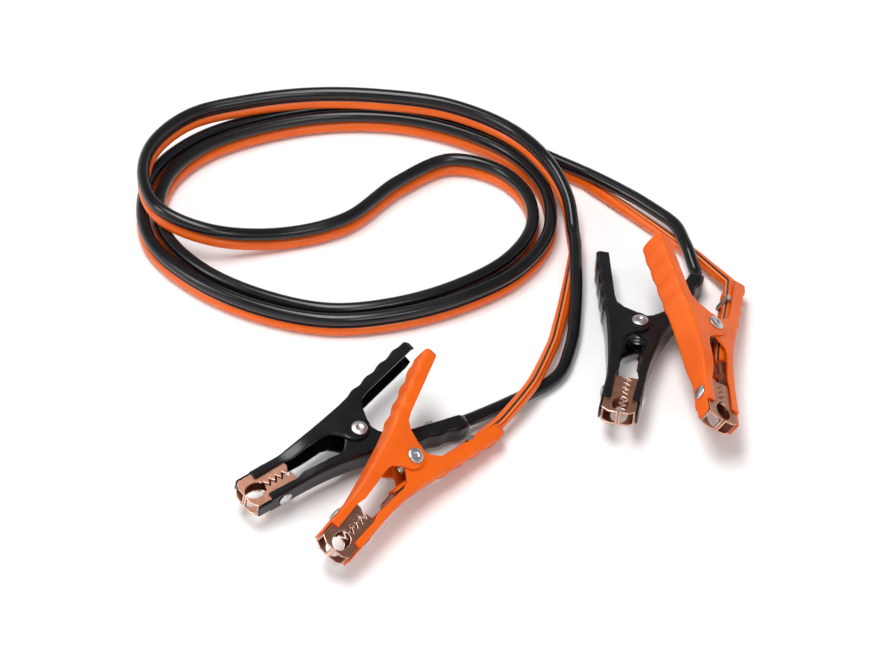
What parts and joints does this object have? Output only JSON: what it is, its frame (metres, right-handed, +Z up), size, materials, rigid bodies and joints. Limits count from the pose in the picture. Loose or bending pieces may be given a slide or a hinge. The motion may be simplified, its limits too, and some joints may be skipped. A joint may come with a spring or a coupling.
{
  "type": "car jumper cable",
  "caption": "Loosely coiled twin jumper cable, black and orange cores bonded side by side, splitting at each end into sprung clamps with toothed copper jaws.",
  "frame": {"origin": "on the floor, under the middle of the box around the four clamps", "axes": "+Z up from the floor the set lies on; +X to the right and +Y away from the viewer of the picture, with the coil at the left and back"},
  "size_m": [0.4038, 0.4419, 0.0564],
  "materials": {
    "black_grip": "glossy black plastic coat on steel sheet",
    "orange_grip": "semi-gloss orange plastic coat on steel sheet",
    "copper": "bright copper-plated sheet",
    "steel": "bright zinc-plated steel",
    "black_jacket": "glossy black soft plastic",
    "orange_jacket": "semi-gloss orange soft plastic",
    "twin_jacket": "glossy soft plastic, the upper core black and the lower core orange with a dark stripe"
  },
  "bodies": {
    "set": {"black_a_cable_lever": "black_grip", "black_a_pivot_rivet": "steel", "black_a_torsion_spring": "steel", "black_a_cable_jaw": "copper", "black_a_cable_jaw_rivet": "steel", "black_a_cable_clip": "steel", "black_a_terminal": "copper", "orange_a_cable_lever": "orange_grip", "orange_a_pivot_rivet": "steel", "orange_a_torsion_spring": "steel", "orange_a_cable_jaw": "copper", "orange_a_cable_jaw_rivet": "steel", "orange_a_cable_clip": "steel", "orange_a_terminal": "copper", "black_b_cable_lever": "black_grip", "black_b_pivot_rivet": "steel", "black_b_torsion_spring": "steel", "black_b_cable_jaw": "copper", "black_b_cable_jaw_rivet": "steel", "black_b_cable_clip": "steel", "black_b_terminal": "copper", "orange_b_cable_lever": "orange_grip", "orange_b_pivot_rivet": "steel", "orange_b_torsion_spring": "steel", "orange_b_cable_jaw": "copper", "orange_b_cable_jaw_rivet": "steel", "orange_b_cable_clip": "steel", "orange_b_terminal": "copper", "twin_cable": "twin_jacket", "black_a_tail": "black_jacket", "orange_a_tail": "orange_jacket", "black_b_tail": "black_jacket", "orange_b_tail": "orange_jacket"},
    "black_a_moving_side": {"black_a_moving_lever": "black_grip", "black_a_moving_jaw": "copper", "black_a_moving_jaw_rivet": "steel"},
    "orange_a_moving_side": {"orange_a_moving_lever": "orange_grip", "orange_a_moving_jaw": "copper", "orange_a_moving_jaw_rivet": "steel"},
    "black_b_moving_side": {"black_b_moving_lever": "black_grip", "black_b_moving_jaw": "copper", "black_b_moving_jaw_rivet": "steel"},
    "orange_b_moving_side": {"orange_b_moving_lever": "orange_grip", "orange_b_moving_jaw": "copper", "orange_b_moving_jaw_rivet": "steel"}
  },
  "joints": [
    {"name": "black_a_pivot", "type": "hinge", "parent": "set", "child": "black_a_moving_side", "pos_m": [-0.0885, -0.03159, 0.01646], "axis": [-0.1574, 0.1683, -0.9731], "range_deg": [0, 26], "stiffness_Nm_per_rad": 1.2, "springref_deg": -34.38, "deforming": ["black_a_torsion_spring"]},
    {"name": "orange_a_pivot", "type": "hinge", "parent": "set", "child": "orange_a_moving_side", "pos_m": [-0.0562, -0.06069, 0.02403], "axis": [-0.4507, 0.2928, -0.8433], "range_deg": [0, 26], "stiffness_Nm_per_rad": 1.2, "springref_deg": -34.38, "deforming": ["orange_a_torsion_spring"]},
    {"name": "black_b_pivot", "type": "hinge", "parent": "set", "child": "black_b_moving_side", "pos_m": [0.091, 0.06611, 0.01475], "axis": [-0.0608, -0.0751, -0.9953], "range_deg": [0, 26], "stiffness_Nm_per_rad": 1.2, "springref_deg": -34.38, "deforming": ["black_b_torsion_spring"]},
    {"name": "orange_b_pivot", "type": "hinge", "parent": "set", "child": "orange_b_moving_side", "pos_m": [0.1332, 0.05031, 0.02922], "axis": [-0.579, -0.06, -0.8131], "range_deg": [0, 26], "stiffness_Nm_per_rad": 1.2, "springref_deg": -34.38, "deforming": ["orange_b_torsion_spring"]}
  ]
}
